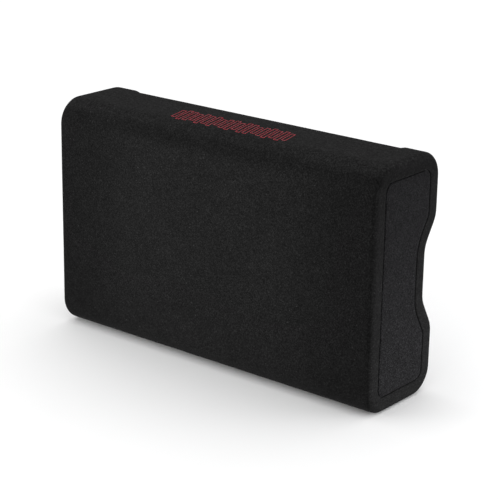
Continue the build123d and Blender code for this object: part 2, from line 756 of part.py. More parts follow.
def amplifier():
    parts = {
        "amp_face_plate": amp_plate(),
        "amp_rear_cover": rear_cover(),
        "plate_screws": plate_screws(),
        "potentiometers": group([Pos(x, KNOB_ROW) * potentiometer() for x in KNOB_PLACES.values()]),
        "slide_switch_bodies": group(
            [Pos(x + SWITCH_TRAVEL / 2, SWITCH_ROW) * switch_body() for x in SWITCH_PLACES.values()]
        ),
        "phono_jacks": group([Pos(x, JACK_ROW) * piece for x in PHONO_PLACES for piece in phono_jack()]),
        "speaker_input_socket": Pos(SPEAKER_SOCKET_X, JACK_ROW) * speaker_input_socket(),
        "remote_socket": Pos(KNOB_PITCH, SWITCH_ROW) * remote_socket(),
        "power_strip": Pos(STRIP_X, POWER_ROW) * power_strip(),
        "strip_screws": Pos(STRIP_X, POWER_ROW) * strip_screws(),
        "fuse_holder": Pos(FUSE_X, POWER_ROW) * fuse_holder(),
        "blade_fuse": Pos(FUSE_X, POWER_ROW) * blade_fuse(),
        "status_light": Pos(0, LIGHT_ROW) * status_light(),
        "circuit_board": circuit_board(),
        "capacitors": capacitors(),
        "choke": choke(),
        "power_transistors": power_transistors(),
        "lead_grommet": lead_grommet(),
        "speaker_leads": speaker_leads(),
    }
    for name, x in KNOB_PLACES.items():
        parts[name + "_knob"] = Pos(x, KNOB_ROW) * knob_and_shaft()
    for name, x in SWITCH_PLACES.items():
        parts[name + "_slider"] = Pos(x + SWITCH_TRAVEL / 2, SWITCH_ROW) * switch_slider()
    return {name: amp_plane * part for name, part in parts.items()}


os.makedirs("parts", exist_ok=True)
for node, shape in {**cabinet(), **covering(), **woofer(), **amplifier()}.items():
    export_step(shape, f"parts/{node}.step")
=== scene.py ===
import math

import bmesh
import bpy
import numpy as np
from mathutils import Matrix, Vector, noise
from mathutils.geometry import delaunay_2d_cdt


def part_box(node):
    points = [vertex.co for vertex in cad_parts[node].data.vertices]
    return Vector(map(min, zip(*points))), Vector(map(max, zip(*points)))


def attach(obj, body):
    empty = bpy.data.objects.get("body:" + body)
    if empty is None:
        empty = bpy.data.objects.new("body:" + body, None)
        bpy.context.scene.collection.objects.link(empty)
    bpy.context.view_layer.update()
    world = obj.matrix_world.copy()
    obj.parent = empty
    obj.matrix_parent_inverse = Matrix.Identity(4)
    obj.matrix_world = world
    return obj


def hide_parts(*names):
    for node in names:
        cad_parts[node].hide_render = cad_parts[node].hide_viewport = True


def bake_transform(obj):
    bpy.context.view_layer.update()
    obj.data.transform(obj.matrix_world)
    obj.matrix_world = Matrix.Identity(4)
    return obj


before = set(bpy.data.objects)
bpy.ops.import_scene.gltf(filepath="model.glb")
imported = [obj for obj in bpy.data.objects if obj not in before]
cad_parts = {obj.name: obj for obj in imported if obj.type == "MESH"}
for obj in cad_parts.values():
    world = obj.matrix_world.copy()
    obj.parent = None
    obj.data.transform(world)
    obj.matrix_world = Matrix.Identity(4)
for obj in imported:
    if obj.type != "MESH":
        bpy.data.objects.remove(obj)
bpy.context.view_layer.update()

# Looks of a carpeted, powered car subwoofer. Metres, in the row frame: +X along the width,
# the woofer and the amplifier on the -Y side, +Z up.

MM = 0.001
CABINET, CONE_BODY = "cabinet", "cone_assembly"

# ---------------------------------------------------------------- places read from the frame


def middle(node):
    low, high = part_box(node)
    return (low + high) / 2


wrap_low, wrap_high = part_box("carpet_wrap")
HALF_WIDTH, BACK, FRONT, HEIGHT = wrap_high.x, wrap_high.y, wrap_low.y, wrap_high.z
WIDTH = 2 * HALF_WIDTH
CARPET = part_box("carpet_base_strip")[1].z
BAFFLE_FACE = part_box("front_baffle")[0].y
WAIST_FLOOR = BAFFLE_FACE - CARPET
CENTRE_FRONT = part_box("upper_front_rail")[0].y - CARPET
CHEEK_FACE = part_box("right_end_frame")[0].x - CARPET
WOOFER = middle("cone")
PLATE = middle("amp_face_plate")
PLATE_LOW, PLATE_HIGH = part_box("amp_face_plate")
PLATE_FACE = BAFFLE_FACE - 3 * MM  # the plate is 3 mm thick, on the baffle

# Sizes that the frame's boxes don't give
CORNER_RADIUS = 33 * MM
END_EDGE_RADIUS = 7.5 * MM
UPPER_LIP, UPPER_FLOOR = 221.4 * MM, 188.0 * MM
LOWER_FLOOR, LOWER_LIP = 121.9 * MM, 85.1 * MM
WAIST_BLEND = 33.8 * MM
STEP_WIDTH = 4.0 * MM  # over which the front rises to a cheek
PLATE_GAP = 1.7 * MM  # between the amplifier's plate and the wall of its well
WELL_RADIUS = 128.7 * MM  # of the woofer's well
WELL_CORNER = 6 * MM  # of the amplifier's well

# The felt
SEAM_INSET, SEAM = 20.7 * MM, 1.0 * MM  # middle and width of the seam round an end carpet
SEAM_EDGE = 1.5 * MM  # radius of the felt's edges along the seam
TUCK = 2.0 * MM  # how deep those edges go down into the seam
WELL_EDGE = 2.2 * MM  # radius of the felt's edges round the wells
WELL_CLEARANCE = 1.3 * MM  # from those edges to the nearest point of the grid
SPACING = 3.6 * MM  # of the grid
SKIN = 1.0 * MM  # thickness of the layer that is modelled
RELIEF = 0.16 * MM  # of the swells and hollows
SWELLS = ((0.6, 22, (0, 0, 0)), (0.3, 70, (5, 1, 7)), (0.22, 190, (2, 8, 3)))  # share, per metre, shift

SQUARE = ((-1, -1), (1, -1), (1, 1), (-1, 1))
UP = np.array((0, 0, 1))

# ---------------------------------------------------------------- mesh helpers


def new_piece(name, points, faces, smooth=True):
    mesh = bpy.data.meshes.new(name)
    mesh.from_pydata([tuple(p) for p in points], [], [tuple(f) for f in faces])
    mesh.validate()
    mesh.update()
    if smooth:
        mesh.polygons.foreach_set("use_smooth", [True] * len(mesh.polygons))
    piece = bpy.data.objects.new(name, mesh)
    bpy.context.scene.collection.objects.link(piece)
    return piece


def unit(vector):
    return vector / np.linalg.norm(vector)


def rounded_loop(corners, radii, arc_steps, side_steps):
    """Points round a closed outline of straight sides joined by tangent arcs, from corner 0's arc."""
    corners = [np.array(c, float) for c in corners]
    arcs = []
    for i, here in enumerate(corners):
        to_before = unit(corners[i - 1] - here)
        to_after = unit(corners[(i + 1) % len(corners)] - here)
        half = 0.5 * math.acos(np.clip(to_before @ to_after, -1, 1))
        centre = here + unit(to_before + to_after) * radii[i] / math.sin(half)
        reach = radii[i] / math.tan(half)
        a = here + to_before * reach - centre
        b = here + to_after * reach - centre
        sweep = math.pi - 2 * half
        shares = np.linspace(0, 1, arc_steps[i] + 1)[:, None]
        swept = np.sin((1 - shares) * sweep) * a + np.sin(shares * sweep) * b
        arcs.append(centre + swept / math.sin(sweep))
    loop = []
    for i, arc in enumerate(arcs):
        following = arcs[(i + 1) % len(arcs)][0]
        shares = np.linspace(0, 1, side_steps[i] + 1)[1:-1, None]
        loop += [arc, arc[-1] + (following - arc[-1]) * shares]
    return np.concatenate(loop)


# Steps along each arc and each side of the end view, from the lower rear corner
ARC_STEPS = (16, 16, 16, 6, 6, 6, 6, 16)
SIDE_STEPS = (66, 18, 14, 5, 13, 5, 14, 18)
UPPER_RAMP = math.atan2(WAIST_FLOOR - FRONT, UPPER_LIP - UPPER_FLOOR)
LOWER_RAMP = math.atan2(WAIST_FLOOR - FRONT, LOWER_FLOOR - LOWER_LIP)


def end_outline(front, inset):
    """(Y, Z) points round the end view: `inset` inside the surface, with lips at Y = `front`."""
    depth = WAIST_FLOOR - front
    rise = inset * math.tan(UPPER_RAMP / 2)
    drop = inset * math.tan(LOWER_RAMP / 2)
    lip, floor = front + inset, WAIST_FLOOR + inset
    corners = [
        (BACK - inset, inset),
        (BACK - inset, HEIGHT - inset),
        (lip, HEIGHT - inset),
        (lip, UPPER_FLOOR + depth / math.tan(UPPER_RAMP) + rise),
        (floor, UPPER_FLOOR + rise),
        (floor, LOWER_FLOOR - drop),
        (lip, LOWER_FLOOR - depth / math.tan(LOWER_RAMP) - drop),
        (lip, inset),
    ]
    corner, crest, hollow = CORNER_RADIUS - inset, WAIST_BLEND - inset, WAIST_BLEND + inset
    radii = [corner, corner, corner, crest, hollow, hollow, crest, corner]
    return rounded_loop(corners, radii, ARC_STEPS, SIDE_STEPS)


def smoothstep(low, high, value):
    t = np.clip((value - low) / (high - low), 0, 1)
    return t * t * (3 - 2 * t)


def inside_loop(loop, points):
    """Which of the points lie inside a closed 2-D loop."""
    loop, points = np.array(loop), np.array(points)
    inside = np.zeros(len(points), bool)
    for a, b in zip(loop, np.roll(loop, -1, axis=0)):
        spans = (a[1] > points[:, 1]) != (b[1] > points[:, 1])
        with np.errstate(divide="ignore", invalid="ignore"):
            cross = (b[0] - a[0]) * (points[:, 1] - a[1]) / (b[1] - a[1]) + a[0]
        inside ^= spans & (points[:, 0] < cross)
    return inside


def fill(points, loops, keep):
    """Triangles between 2-D points, with the index loops as edges. keep(centres) says which stay."""
    edges = [(a, b) for loop in loops for a, b in zip(loop, loop[1:] + loop[:1])]
    flat = [Vector((float(p[0]), float(p[1]))) for p in points]
    made, _, faces, origin, _, _ = delaunay_2d_cdt(flat, edges, [], 0, 1e-7)
    if any(not o for o in origin):
        raise RuntimeError("the outline crosses itself")
    centres = np.array([np.mean([made[v] for v in f], axis=0) for f in faces])
    stay = keep(centres)
    return [[origin[v][0] for v in f] for f, good in zip(faces, stay) if good]


def roughen(piece):
    """Gives a carpet piece its swells and hollows, and keeps it above the ground."""
    mesh = piece.data
    points = []
    for vertex in mesh.vertices:
        swell = 0.0
        for share, per_metre, shift in SWELLS:
            swell += share * noise.noise(vertex.co * per_metre + Vector(shift))
        point = np.array(vertex.co) + np.array(vertex.normal) * RELIEF * swell
        point[2] = max(point[2], 0.0)
        points.append(point)
    mesh.vertices.foreach_set("co", np.concatenate(points).astype(np.float32))
    mesh.update()


def thicken(piece):
    skin = piece.modifiers.new("thickness", "SOLIDIFY")
    skin.thickness = SKIN
    skin.offset = -1.0


def facing_out(piece, way=None):
    """Clears loose vertices and turns the faces out: towards `way` on an open sheet."""
    made = bmesh.new()
    made.from_mesh(piece.data)
    bmesh.ops.delete(made, geom=[v for v in made.verts if not v.link_faces], context="VERTS")
    bmesh.ops.remove_doubles(made, verts=made.verts, dist=1e-6)
    bmesh.ops.recalc_face_normals(made, faces=made.faces)
    if way is not None:
        made.faces.ensure_lookup_table()
        way = Vector(way)
        outermost = max(made.faces, key=lambda f: (f.calc_center_median().dot(way), f.calc_area()))
        if outermost.normal.dot(way) < 0:
            bmesh.ops.reverse_faces(made, faces=made.faces)
    made.to_mesh(piece.data)
    made.free()
    piece.data.update()
    return piece


# ---------------------------------------------------------------- carpet


def well_outlines():
    """The woofer's and the amplifier's wells: functions of how far outside the wall to stand."""

    def woofer(out):
        turns = np.linspace(0, 2 * math.pi, 320, endpoint=False)
        radius = WELL_RADIUS + out
        return np.stack([WOOFER.x + radius * np.cos(turns), HEIGHT / 2 + radius * np.sin(turns)], 1)

    def amplifier(out):
        half_x = (PLATE_HIGH.x - PLATE_LOW.x) / 2 + PLATE_GAP + out
        half_z = (PLATE_HIGH.z - PLATE_LOW.z) / 2 + PLATE_GAP + out
        corners = [(PLATE.x + sx * half_x, PLATE.z + sz * half_z) for sx, sz in SQUARE]
        return rounded_loop(corners, [WELL_CORNER + out] * 4, [5] * 4, [54, 82] * 2)

    return [woofer, amplifier]


def wrap_stations():
    """(x, how much of a cheek it is, inset) along the right half, ending in the seam."""
    flat_end = CHEEK_FACE - 0.8 * STEP_WIDTH
    stations = [(x, 0.0, 0.0) for x in np.linspace(0, flat_end, round(flat_end / SPACING) + 1)]
    for t in np.linspace(0, 1, 7)[1:]:
        stations.append((flat_end + STEP_WIDTH * t, float(smoothstep(0, 1, t)), 0.0))
    start, stop = stations[-1][0], HALF_WIDTH - END_EDGE_RADIUS
    for x in np.linspace(start, stop, 8)[1:]:
        stations.append((x, 1.0, 0.0))
    for turn in np.radians([15, 30, 45, 60, 75, 90]):
        inset = END_EDGE_RADIUS * (1 - math.cos(turn))
        stations.append((stop + END_EDGE_RADIUS * math.sin(turn), 1.0, inset))
    seam = SEAM_INSET - SEAM / 2
    for inset in np.linspace(END_EDGE_RADIUS, seam - SEAM_EDGE, 5)[1:]:
        stations.append((HALF_WIDTH, 1.0, inset))
    for turn in np.radians([22, 45, 68, 90]):
        x = HALF_WIDTH - SEAM_EDGE * (1 - math.cos(turn))
        stations.append((x, 1.0, seam - SEAM_EDGE * (1 - math.sin(turn))))
    stations.append((HALF_WIDTH - TUCK, 1.0, seam))
    return stations


def line_wells(walls, points, faces):
    """Takes the felt from the edge of each well down to the baffle."""
    for rim in walls:
        upper = rim
        for share in (0.33, 0.67, 1.0):
            lower = []
            for v in rim:
                x, y, z = points[v]
                lower.append(len(points))
                points.append(np.array([x, y + (BAFFLE_FACE - y) * share, z]))
            for a in range(len(rim)):
                b = (a + 1) % len(rim)
                faces.append((upper[a], upper[b], lower[b], lower[a]))
            upper = lower


def carpet_wrap():
    """The felt round the box: rows of points along the width, and a patch with both wells."""
    right = wrap_stations()
    stations = [(-x, share, inset) for x, share, inset in reversed(right[1:])] + right
    rows = []
    for x, share, inset in stations:
        centre = end_outline(CENTRE_FRONT, inset)
        proud = end_outline(FRONT, inset)
        section = centre + (proud - centre) * share
        rows.append(np.column_stack([np.full(len(section), x), section]))
    columns = len(rows[0])
    points = list(np.concatenate(rows))

    # The patch of the front that holds the wells
    section = end_outline(CENTRE_FRONT, 0)
    reach = CORNER_RADIUS * (1 - math.sin(math.radians(34)))
    in_patch = (section[:, 0] < 0) & (section[:, 1] > reach) & (section[:, 1] < HEIGHT - reach)
    patch = np.flatnonzero(in_patch)
    flat_rows = [i for i, s in enumerate(stations) if s[1] == 0]
    first_row, last_row, first, last = flat_rows[0], flat_rows[-1], patch[0], patch[-1]
    heights = section[first : last + 1]

    def front_at(z):
        return np.interp(z, heights[::-1, 1], heights[::-1, 0])

    faces = []
    for i in range(len(stations) - 1):
        for j in range(columns):
            if first_row <= i < last_row and first <= j < last:
                continue
            k = (j + 1) % columns
            faces.append((i * columns + j, i * columns + k, (i + 1) * columns + k, (i + 1) * columns + j))

    flat, owners = [], []
    margins = [well(WELL_EDGE + WELL_CLEARANCE) for well in well_outlines()]
    grid = [(i, j) for i in range(first_row, last_row + 1) for j in range(first, last + 1)]
    places = np.array([points[i * columns + j][[0, 2]] for i, j in grid])
    near = inside_loop(margins[0], places) | inside_loop(margins[1], places)
    for (i, j), place, close in zip(grid, places, near):
        if not close:
            flat.append(place)
            owners.append(i * columns + j)
    loops, walls = [], []
    for well in well_outlines():
        for turn in np.radians([0, 18, 36, 54, 72, 90]):
            ring = well(WELL_EDGE * (1 - math.sin(turn)))
            loop = []
            for x, z in ring:
                loop.append(len(flat))
                flat.append((x, z))
                owners.append(len(points))
                points.append(np.array([x, front_at(z) + WELL_EDGE * (1 - math.cos(turn)), z]))
            loops.append(loop)
        walls.append([owners[v] for v in loop])
    holes = [well(0.0) for well in well_outlines()]

    def on_felt(centres):
        return ~(inside_loop(holes[0], centres) | inside_loop(holes[1], centres))

    faces += [tuple(owners[v] for v in tri) for tri in fill(flat, loops, on_felt)]
    line_wells(walls, points, faces)
    piece = facing_out(new_piece("carpet_covering", points, faces), (0, 1, 0))
    roughen(piece)
    thicken(piece)
    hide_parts("carpet_wrap", "carpet_base_strip")
    return piece


def end_carpet(name, node, side):
    """The felt on one end: rolled edges along the seam round a flat field."""
    inset = SEAM_INSET + SEAM / 2
    points, flat, loops = [], [], []
    for turn in np.radians([90, 68, 45, 22, 0]):
        ring = end_outline(FRONT, inset + SEAM_EDGE * (1 - math.sin(turn)))
        x = HALF_WIDTH - SEAM_EDGE * (1 - math.cos(turn))
        loops.append(list(range(len(flat), len(flat) + len(ring))))
        flat += list(ring)
        points += [(side * x, y, z) for y, z in ring]
    low, high = ring.min(0), ring.max(0)
    ys = np.arange(low[0], high[0], SPACING)
    zs = np.arange(low[1], high[1], SPACING)
    spots = np.array([(y, z) for y in ys for z in zs])
    spots = spots[inside_loop(end_outline(FRONT, inset + SEAM_EDGE + 2 * MM), spots)]
    flat += list(spots)
    points += [(side * HALF_WIDTH, y, z) for y, z in spots]
    rim = end_outline(FRONT, inset)
    faces = fill(flat, loops, lambda centres: inside_loop(rim, centres))
    edge, tucked = loops[0], range(len(points), len(points) + len(loops[0]))
    points += [(side * (HALF_WIDTH - TUCK), y, z) for y, z in rim]
    for a in range(len(edge)):
        b = (a + 1) % len(edge)
        faces.append((edge[a], edge[b], tucked[b], tucked[a]))
    piece = facing_out(new_piece(name, points, faces), (side, 0, 0))
    roughen(piece)
    thicken(piece)
    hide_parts(node)
    return piece


# ---------------------------------------------------------------- emblem

MOTIF_HEIGHTS = np.array((31, 39, 33, 41, 36, 29, 40, 41, 32, 41, 37, 28, 41, 35, 41, 31, 38, 41, 33)) * MM
MOTIF_CENTRE = (-1.5 * MM, 18.5 * MM)
MOTIF_PITCH, MOTIF_BAR, MOTIF_LINE = 9.6 * MM, 6.6 * MM, 1.0 * MM
MOTIF_SLANT = math.tan(math.radians(-14))
STITCH_PITCH, THREAD_RADIUS, THREAD_LIFT = 0.36 * MM, 0.2 * MM, 0.28 * MM
STITCH_MARGIN, STITCH_WOBBLE = 0.08 * MM, 0.06 * MM


def skin_rings(faces, start, rings, sides):
    """Walls between successive rings of points, and a cap on each end."""
    for i in range(rings - 1):
        for k in range(sides):
            m = (k + 1) % sides
            row, up = start + i * sides, start + (i + 1) * sides
            faces.append((row + k, row + m, up + m, up + k))
    faces.append(tuple(start + k for k in reversed(range(sides))))
    faces.append(tuple(start + (rings - 1) * sides + k for k in range(sides)))


def on_top(x, y):
    """The place of (x, y) on the top's carpet, which falls away at the rear fold."""
    past = max(0.0, y - (BACK - CORNER_RADIUS))
    return np.array((x, y, HEIGHT - CORNER_RADIUS + math.sqrt(CORNER_RADIUS**2 - past**2)))


def stitch(points, faces, a, b):
    """One raised strand of thread from a to b."""
    steps, sides = 5, 4
    across = unit(np.cross(b - a, UP))
    start = len(points)
    for i in range(steps):
        t = i / (steps - 1)
        centre = a + (b - a) * t + UP * THREAD_LIFT * math.sin(math.pi * t) ** 0.6
        for k in range(sides):
            turn = 2 * math.pi * k / sides
            points.append(centre + THREAD_RADIUS * (across * math.cos(turn) + UP * math.sin(turn)))
    skin_rings(faces, start, steps, sides)


def emblem():
    """Slanted bars in satin stitch, on the places of the CAD motif's bars."""
    rng = np.random.default_rng(7)
    points, faces = [], []
    for i, height in enumerate(MOTIF_HEIGHTS):
        centre = np.array(MOTIF_CENTRE) + ((i - (len(MOTIF_HEIGHTS) - 1) / 2) * MOTIF_PITCH, 0)
        corners = []
        for sx, sy in SQUARE:
            rise = sy * height / 2
            corners.append(centre + (sx * MOTIF_BAR / 2 + MOTIF_SLANT * rise, rise))
        for k, corner in enumerate(corners):
            following = corners[(k + 1) % 4]
            length = np.linalg.norm(following - corner)
            along = (following - corner) / length
            inward = np.array((-along[1], along[0]))
            count = round(length / STITCH_PITCH)
            for s in range(count + 1):
                ahead, behind = length * s / count, length * (1 - s / count)
                mitre = min(1.0, ahead / MOTIF_LINE + 0.12, behind / MOTIF_LINE + 0.12)
                wobble = rng.normal(0, STITCH_WOBBLE)
                near = corner + along * ahead + inward * (STITCH_MARGIN + wobble)
                far = corner + along * ahead + inward * (MOTIF_LINE * mitre + wobble)
                stitch(points, faces, on_top(*near), on_top(*far))
    piece = new_piece("stitched_motif", points, faces)
    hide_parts("top_emblem")
    return piece


# ---------------------------------------------------------------- woofer's soft parts


def lathe(name, profile, segments=192, closed=True):
    """A turned piece on the woofer's axis, from (radius, height in front of the baffle) points."""
    turns = np.linspace(0, 2 * math.pi, segments, endpoint=False)
    points, faces = [], []
    for radius, height in profile:
        for turn in turns:
            across, up = radius * math.cos(turn), radius * math.sin(turn)
            points.append((WOOFER.x + across, BAFFLE_FACE - height, HEIGHT / 2 + up))
    rings = len(profile)
    for i in range(rings if closed else rings - 1):
        for k in range(segments):
            m, j = (k + 1) % segments, (i + 1) % rings
            faces.append((i * segments + k, i * segments + m, j * segments + m, j * segments + k))
    return facing_out(new_piece(name, points, faces))


def thick_profile(line, thickness):
    """A closed profile of the given thickness around an open (radius, height) line."""
    line = np.array(line)
    slope = np.gradient(line, axis=0)
    side = np.stack([-slope[:, 1], slope[:, 0]], 1)
    side /= np.linalg.norm(side, axis=1)[:, None]
    return list(line + side * thickness / 2) + list((line - side * thickness / 2)[::-1])


def blend_to_cone(piece):
    """The piece runs from the cabinet to the cone; this bakes its placement into its vertices."""
    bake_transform(piece)


def blend_all_round(piece):
    """The same for a ring: bakes its placement into its vertices."""
    blend_to_cone(piece)


def surround():
    """A half roll of rubber between two flat landings, which are glued to the cone and the basket."""
    thickness = 1.0 * MM
    base = BAFFLE_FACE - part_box("surround")[1].y + thickness / 2
    inner_landing, outer_landing = (93.5 * MM, 95.5 * MM), (114 * MM, 116.1 * MM)
    middle_radius, roll = 104.5 * MM, 7.0 * MM
    line = [(radius, base) for radius in inner_landing]
    for turn in np.radians(np.linspace(180, 0, 25)):
        line.append((middle_radius + roll * math.cos(turn), base + roll * math.sin(turn)))
    line += [(radius, base) for radius in outer_landing]
    piece = lathe("surround_roll", thick_profile(line, thickness), 224)
    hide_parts("surround")
    blend_all_round(piece)
    return piece


def spider():
    """Waved cloth between the coil former and a flat landing on the basket."""
    low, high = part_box("spider")
    level = BAFFLE_FACE - (low.y + high.y) / 2
    inner_landing, outer_landing = (25.45 * MM, 27.5 * MM), (62 * MM, 72.8 * MM)
    inner, outer, waves, swing = 29 * MM, 59 * MM, 5, 1.55 * MM
    line = [(radius, level) for radius in inner_landing]
    for t in np.linspace(0, 1, 81):
        line.append((inner + (outer - inner) * t, level + swing * math.sin(2 * math.pi * waves * t)))
    line += [(radius, level) for radius in outer_landing]
    piece = lathe("spider_cloth", thick_profile(line, 0.7 * MM))
    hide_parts("spider")
    blend_all_round(piece)
    return piece


def cone():
    """The pulp cone with pressed concentric ribs."""
    low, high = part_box("cone")
    neck = (25.35 * MM, BAFFLE_FACE - high.y + 0.7 * MM)
    rim = (92.6 * MM, BAFFLE_FACE - low.y - 0.65 * MM)
    ribs, rib_height, rib_width = (0.42, 0.52, 0.62, 0.72, 0.82, 0.92), 0.55 * MM, 0.016
    line = []
    for t in np.linspace(0, 1, 121):
        radius = neck[0] + (rim[0] - neck[0]) * t
        rib = sum(rib_height * math.exp(-(((t - place) / rib_width) ** 2)) for place in ribs)
        line.append((radius, neck[1] + (rim[1] - neck[1]) * t + rib))
    line.append((96.9 * MM, rim[1]))
    piece = lathe("ribbed_cone", thick_profile(line, 1.0 * MM))
    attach(piece, CONE_BODY)
    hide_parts("cone")
    return piece


def tube_along(points, faces, path, radius, sides=8):
    """A round tube along a list of 3-D points, with closed ends."""
    start = len(points)
    path = [np.array(p, float) for p in path]
    for i, p in enumerate(path):
        ahead = path[min(i + 1, len(path) - 1)] - path[max(i - 1, 0)]
        u = unit(np.cross(ahead, (0.21, 0.35, 0.91)))
        v = unit(np.cross(ahead, u))
        for k in range(sides):
            turn = 2 * math.pi * k / sides
            points.append(p + radius * (u * math.cos(turn) + v * math.sin(turn)))
    skin_rings(faces, start, len(path), sides)


def tinsel_leads():
    """Two braided leads of three twisted strands each, from the cone through a basket window."""
    corners = np.array([(57, -5.9), (58, -13), (68, -16.5), (82, -16.5), (89, -24), (96, -24)]) * MM
    radii = np.array([0, 5, 20, 10, 7, 0]) * MM
    route = rounded_loop(corners, radii, (0, 6, 4, 6, 6, 0), (4, 2, 6, 2, 5, 1))
    travelled = np.concatenate([[0], np.cumsum(np.linalg.norm(np.diff(route, axis=0), axis=1))])
    places = np.linspace(0, travelled[-1], 90)
    out, height = (np.interp(places, travelled, route[:, k]) for k in (0, 1))
    aside, strand_radius, strands, steps_per_turn = 13 * MM, 0.42 * MM, 3, 8
    points, faces = [], []
    for side in (-1, 1):
        for strand in range(strands):
            path = []
            for i in range(len(places)):
                turn = 2 * math.pi * (i / steps_per_turn + strand / strands)
                centre = (WOOFER.x + out[i], BAFFLE_FACE - height[i], HEIGHT / 2 + side * aside)
                path.append(centre + strand_radius * np.array((0, math.cos(turn), math.sin(turn))))
            tube_along(points, faces, path, strand_radius, 6)
    piece = new_piece("tinsel_braids", points, faces)
    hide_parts("tinsel_leads")
    blend_to_cone(piece)
    return piece


# ---------------------------------------------------------------- printed marks on the plate


def mark(points, faces, centre, half_x, half_z, turn=0.0):
    """One thin printed mark on the amplifier's face plate, with chamfered edges."""
    ink, rim = 0.06 * MM, 0.05 * MM
    start = len(points)
    for height, shrink in ((0.0, 0.0), (ink, rim)):
        for sx, sz in SQUARE:
            x, z = sx * (half_x - shrink), sz * (half_z - shrink)
            across = centre[0] + x * math.cos(turn) - z * math.sin(turn)
            up = centre[1] + x * math.sin(turn) + z * math.cos(turn)
            points.append((across, PLATE_FACE - height, up))
    faces.append(tuple(start + k for k in (4, 5, 6, 7)))
    for k in range(4):
        m = (k + 1) % 4
        faces.append((start + k, start + m, start + 4 + m, start + 4 + k))


def panel_marks():
    """Tick marks round the knobs, setting dots by the switches and rules between the rows."""
    points, faces = [], []
    dial_radius, ticks, knob_turn = 9.6 * MM, 11, 150
    for knob in ("gain_knob", "crossover_knob", "bass_boost_knob"):
        centre = middle(knob)
        for i in range(ticks):
            turn = math.radians(-knob_turn + 2 * knob_turn / (ticks - 1) * i)
            half_length = 1.5 * MM if i % (ticks // 2) == 0 else 0.9 * MM
            radius = dial_radius + half_length
            place = (centre.x + radius * math.sin(turn), centre.z + radius * math.cos(turn))
            mark(points, faces, place, 0.28 * MM, half_length, -turn)
    slide, above = 4 * MM, 5.4 * MM
    for slider in ("phase_slider", "auto_on_slider"):
        centre = middle(slider)
        for setting in (0, 1):
            place = (centre.x + setting * slide, centre.z + above)
            mark(points, faces, place, 0.45 * MM, 0.9 * MM)
    rule_offset, half_rule = 29 * MM, 25 * MM
    for height in (55, 24, -31, -62):
        for side in (-1, 1):
            place = (PLATE.x + side * rule_offset, PLATE.z + height * MM)
            mark(points, faces, place, half_rule, 0.18 * MM)
    piece = new_piece("panel_marks", points, faces, smooth=False)
    return facing_out(piece)


# ---------------------------------------------------------------- materials


NOISE_TILT = (0.55, 0.85, 0.35)  # keeps the flat faces off the noise's own grid, where it is weak


